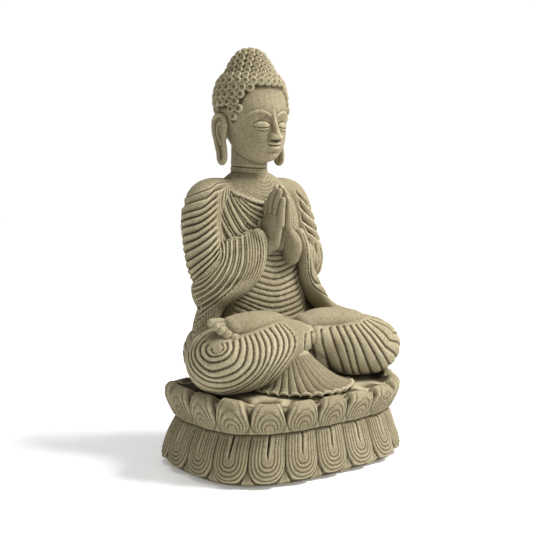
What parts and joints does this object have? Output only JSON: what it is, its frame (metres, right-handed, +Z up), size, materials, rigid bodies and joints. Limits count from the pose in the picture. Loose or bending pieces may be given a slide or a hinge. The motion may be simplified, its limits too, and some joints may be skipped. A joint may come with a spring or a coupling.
{
  "type": "seated buddha statue",
  "caption": "Free-standing statue of a cross-legged robed figure, palms joined, on an oval two-tier lotus pedestal, built as hollow stone castings on dowels.",
  "frame": {"origin": "middle of the footprint, on the surface that the foot pads stand on", "axes": "+Z up through the crown, -Y the way the figure faces, +X to the figure's left"},
  "size_m": [0.2664, 0.2008, 0.45],
  "materials": {
    "cast_stone": "matt, fine sandy grain",
    "steel": "zinc plated",
    "brass": "turned",
    "rubber": "matt",
    "cover": "matt"
  },
  "bodies": {
    "root": {"anchor_nut": "steel", "base_cover": "cover", "cover_screws": "steel", "crossed_legs": "cast_stone", "foot_pad_1": "rubber", "foot_pad_2": "rubber", "foot_pad_3": "rubber", "foot_pad_4": "rubber", "foot_pad_5": "rubber", "foot_pad_6": "rubber", "head": "cast_stone", "left_hand": "cast_stone", "left_shoulder_dowel": "steel", "left_sleeved_arm": "cast_stone", "left_wrist_dowel": "steel", "lower_lotus_tier": "cast_stone", "neck_dowel": "steel", "right_hand": "cast_stone", "right_shoulder_dowel": "steel", "right_sleeved_arm": "cast_stone", "right_wrist_dowel": "steel", "screw_inserts": "brass", "seat_dowels": "steel", "tie_nut": "steel", "tie_rod": "steel", "tie_washer": "steel", "tier_dowels": "steel", "torso": "cast_stone", "upper_lotus_tier": "cast_stone"}
  },
  "joints": []
}
